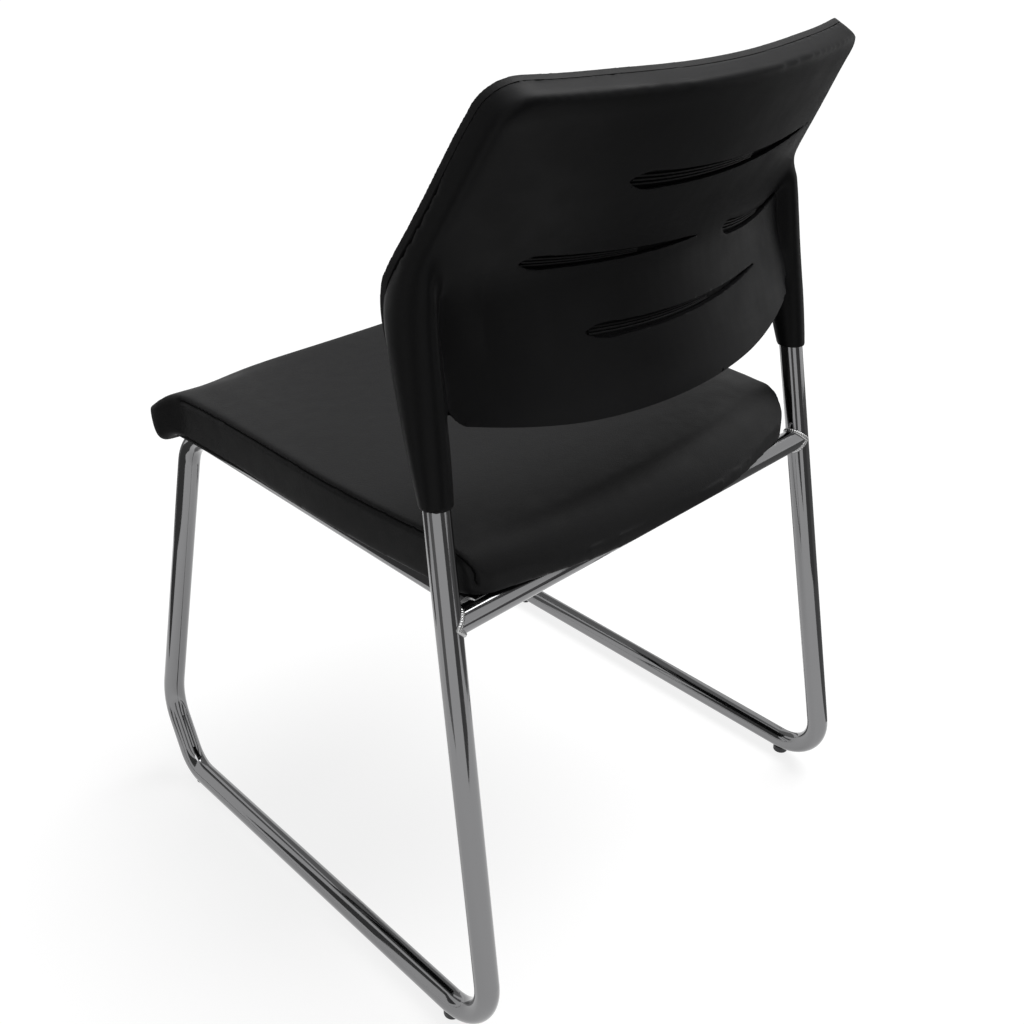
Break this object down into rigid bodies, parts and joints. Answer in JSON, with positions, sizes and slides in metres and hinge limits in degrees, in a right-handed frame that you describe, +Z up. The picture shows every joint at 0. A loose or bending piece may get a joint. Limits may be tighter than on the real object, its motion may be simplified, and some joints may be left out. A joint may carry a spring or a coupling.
{
  "type": "sled-base visitor chair",
  "caption": "Fixed visitor chair: bent chromed tube sled frame, upholstered seat on a board, moulded back shell with a thin padded front on the upright tubes.",
  "frame": {"origin": "on the floor, under the middle of the chair's outer box", "axes": "+Z up, the sitter faces -Y, +X is the sitter's left"},
  "size_m": [0.53, 0.541, 0.8137],
  "materials": {
    "chrome_tube": "bright chrome plate with fine rub marks",
    "weld_bead": "rippled weld bead under the plating",
    "fastener_steel": "zinc plated",
    "board": "raw plywood",
    "foam": "cut foam",
    "cover": "black grained leather cloth, matt",
    "bottom_cloth": "black non-woven dust cloth",
    "spacer_rubber": "matt",
    "shell_plastic": "black moulded plastic, fine grain",
    "small_plastic": "black moulded plastic",
    "glide_plastic": "dark grey moulded plastic, worn underneath"
  },
  "bodies": {
    "root": {"left_side_tube": "chrome_tube", "right_side_tube": "chrome_tube", "rear_cross_tube": "chrome_tube", "front_cross_tube": "chrome_tube", "rear_cross_welds": "weld_bead", "rail_end_welds": "weld_bead", "front_cross_welds": "weld_bead", "bracket_welds": "weld_bead", "seat_bracket_front_left": "chrome_tube", "seat_bracket_front_right": "chrome_tube", "seat_bracket_rear_left": "chrome_tube", "seat_bracket_rear_right": "chrome_tube", "seat_board": "board", "seat_foam": "foam", "seat_cover": "cover", "seat_bottom_cloth": "bottom_cloth", "seat_spacers": "spacer_rubber", "seat_tee_nuts": "fastener_steel", "seat_screws": "fastener_steel", "backrest_shell": "shell_plastic", "backrest_board": "small_plastic", "backrest_foam": "foam", "backrest_cover": "cover", "backrest_clips": "small_plastic", "sleeve_screws": "fastener_steel", "upright_plug_left": "small_plastic", "upright_plug_right": "small_plastic", "glide_front_left": "glide_plastic", "glide_front_right": "glide_plastic", "glide_rear_left": "glide_plastic", "glide_rear_right": "glide_plastic"}
  },
  "joints": []
}
